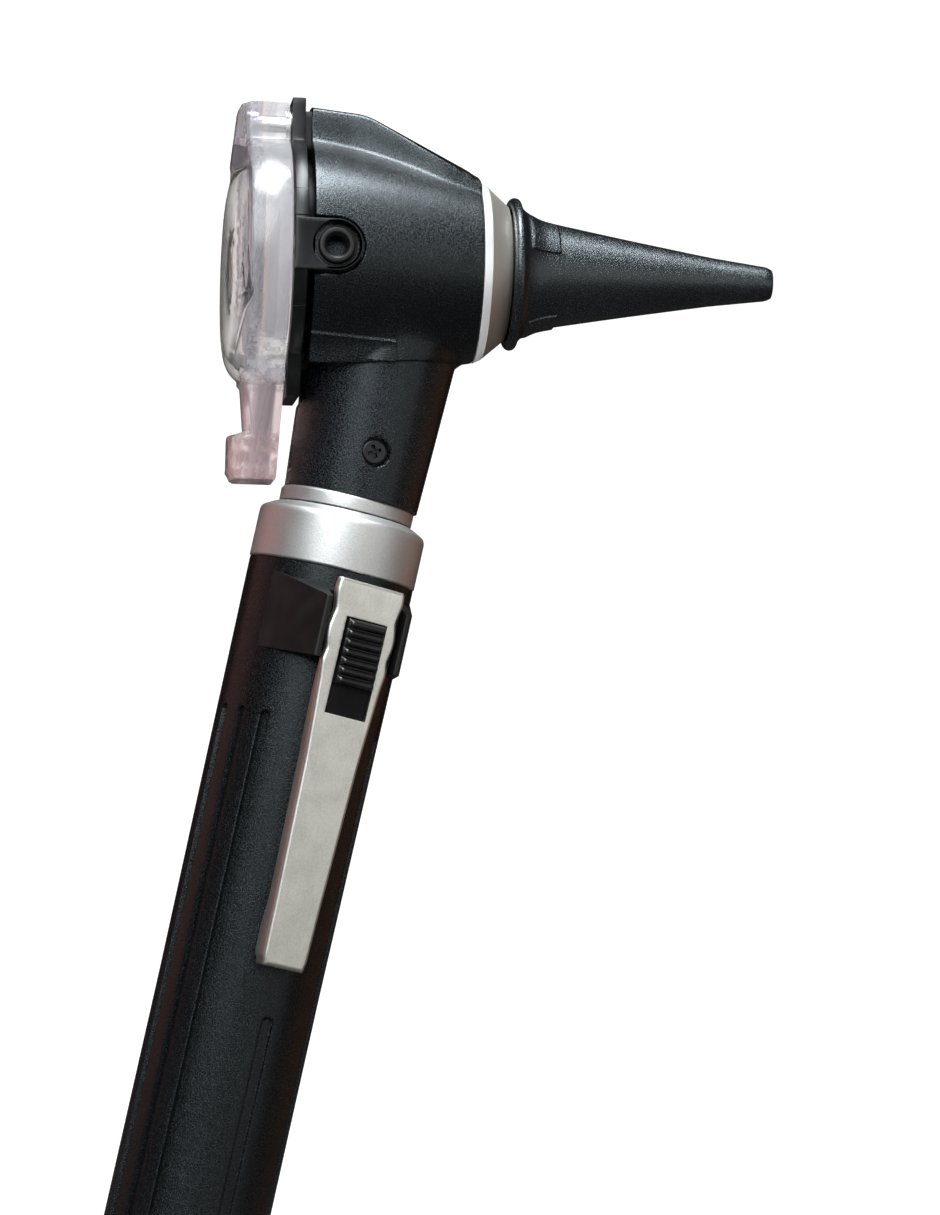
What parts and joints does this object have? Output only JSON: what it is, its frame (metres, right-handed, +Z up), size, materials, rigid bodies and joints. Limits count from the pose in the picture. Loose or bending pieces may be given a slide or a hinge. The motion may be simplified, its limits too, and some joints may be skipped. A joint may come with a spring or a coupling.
{
  "type": "otoscope",
  "caption": "Pocket fibre-optic otoscope: battery handle with clip and slide switch, screw-on angled head, swing-away magnifier and cone speculum.",
  "frame": {"origin": "centre of the handle's flat base, on the handle's axis", "axes": "+Z up the handle; +X towards the speculum, in the plane of the head; -Y is the side with the insufflation port, and the clip is turned 21 degrees from it towards +X"},
  "size_m": [0.0674, 0.0284, 0.1696],
  "materials": {
    "textured_black": "fine spark-eroded texture",
    "smooth_black": "smooth, low gloss",
    "speculum_plastic": "fine texture",
    "satin_aluminium": "bead blasted, satin",
    "seat_metal": "satin cone with a bright bevel",
    "clip_steel": "satin",
    "nickel": "nickel plated",
    "brass": "plain",
    "black_screw": "black oxide",
    "battery": "plain sleeve",
    "insulator": "moulded",
    "seal_rubber": "matte",
    "lamp_glass": "clear lamp",
    "fibre": "fibre bundle",
    "clear_acrylic": "clear, polished"
  },
  "bodies": {
    "handle": {"handle_sleeve": "textured_black", "battery_tube": "nickel", "battery_spring": "nickel", "battery_lower": "battery", "battery_upper": "battery", "handle_collar": "satin_aluminium", "clip_bracket": "smooth_black", "clip_rivet": "nickel", "contact_strip": "brass"},
    "clip": {"pocket_clip": "clip_steel"},
    "switch": {"switch_slider": "smooth_black", "switch_contact": "brass"},
    "seal": {"seal_ring": "seal_rubber"},
    "head": {"screw_ring": "satin_aluminium", "neck_cover": "textured_black", "neck_screws": "black_screw", "lamp_holder": "insulator", "contact_pin": "brass", "pin_spring": "nickel", "lamp": "lamp_glass", "head_shell": "textured_black", "eyepiece_frame": "smooth_black", "insufflation_port": "smooth_black", "speculum_seat": "seat_metal", "nose_tube": "smooth_black", "light_guide": "fibre", "spring_washer": "nickel", "pivot_screw": "nickel"},
    "lens": {"swing_lens": "clear_acrylic"},
    "speculum": {"speculum": "speculum_plastic"}
  },
  "joints": [
    {"name": "head_rise", "type": "slide", "parent": "handle", "child": "seal", "axis": [0, 0, 1], "range_m": [0, 0.0031]},
    {"name": "head_unscrew", "type": "hinge", "parent": "seal", "child": "head", "pos_m": [0, 0, 0.12], "axis": [0, 0, 1], "range_deg": [0, 1080]},
    {"name": "lens_swing", "type": "hinge", "parent": "head", "child": "lens", "pos_m": [-0.01669, 0, 0.16609], "axis": [0.9806, 0, 0.1959], "range_deg": [-95, 95]},
    {"name": "speculum_pull", "type": "slide", "parent": "head", "child": "speculum", "axis": [0.9806, 0, 0.1959], "range_m": [0, 0.02]},
    {"name": "clip_flex", "type": "hinge", "parent": "handle", "child": "clip", "pos_m": [0.00389, -0.01013, 0.1139], "axis": [-0.9336, -0.3584, 0], "range_deg": [0, 3], "stiffness_Nm_per_rad": 4},
    {"name": "switch_slide", "type": "slide", "parent": "handle", "child": "switch", "axis": [0, 0, -1], "range_m": [0, 0.003]}
  ],
  "couplings": [
    {"joint": "head_rise", "follows": "head_unscrew", "m_per_rad": 0.00015915}
  ]
}
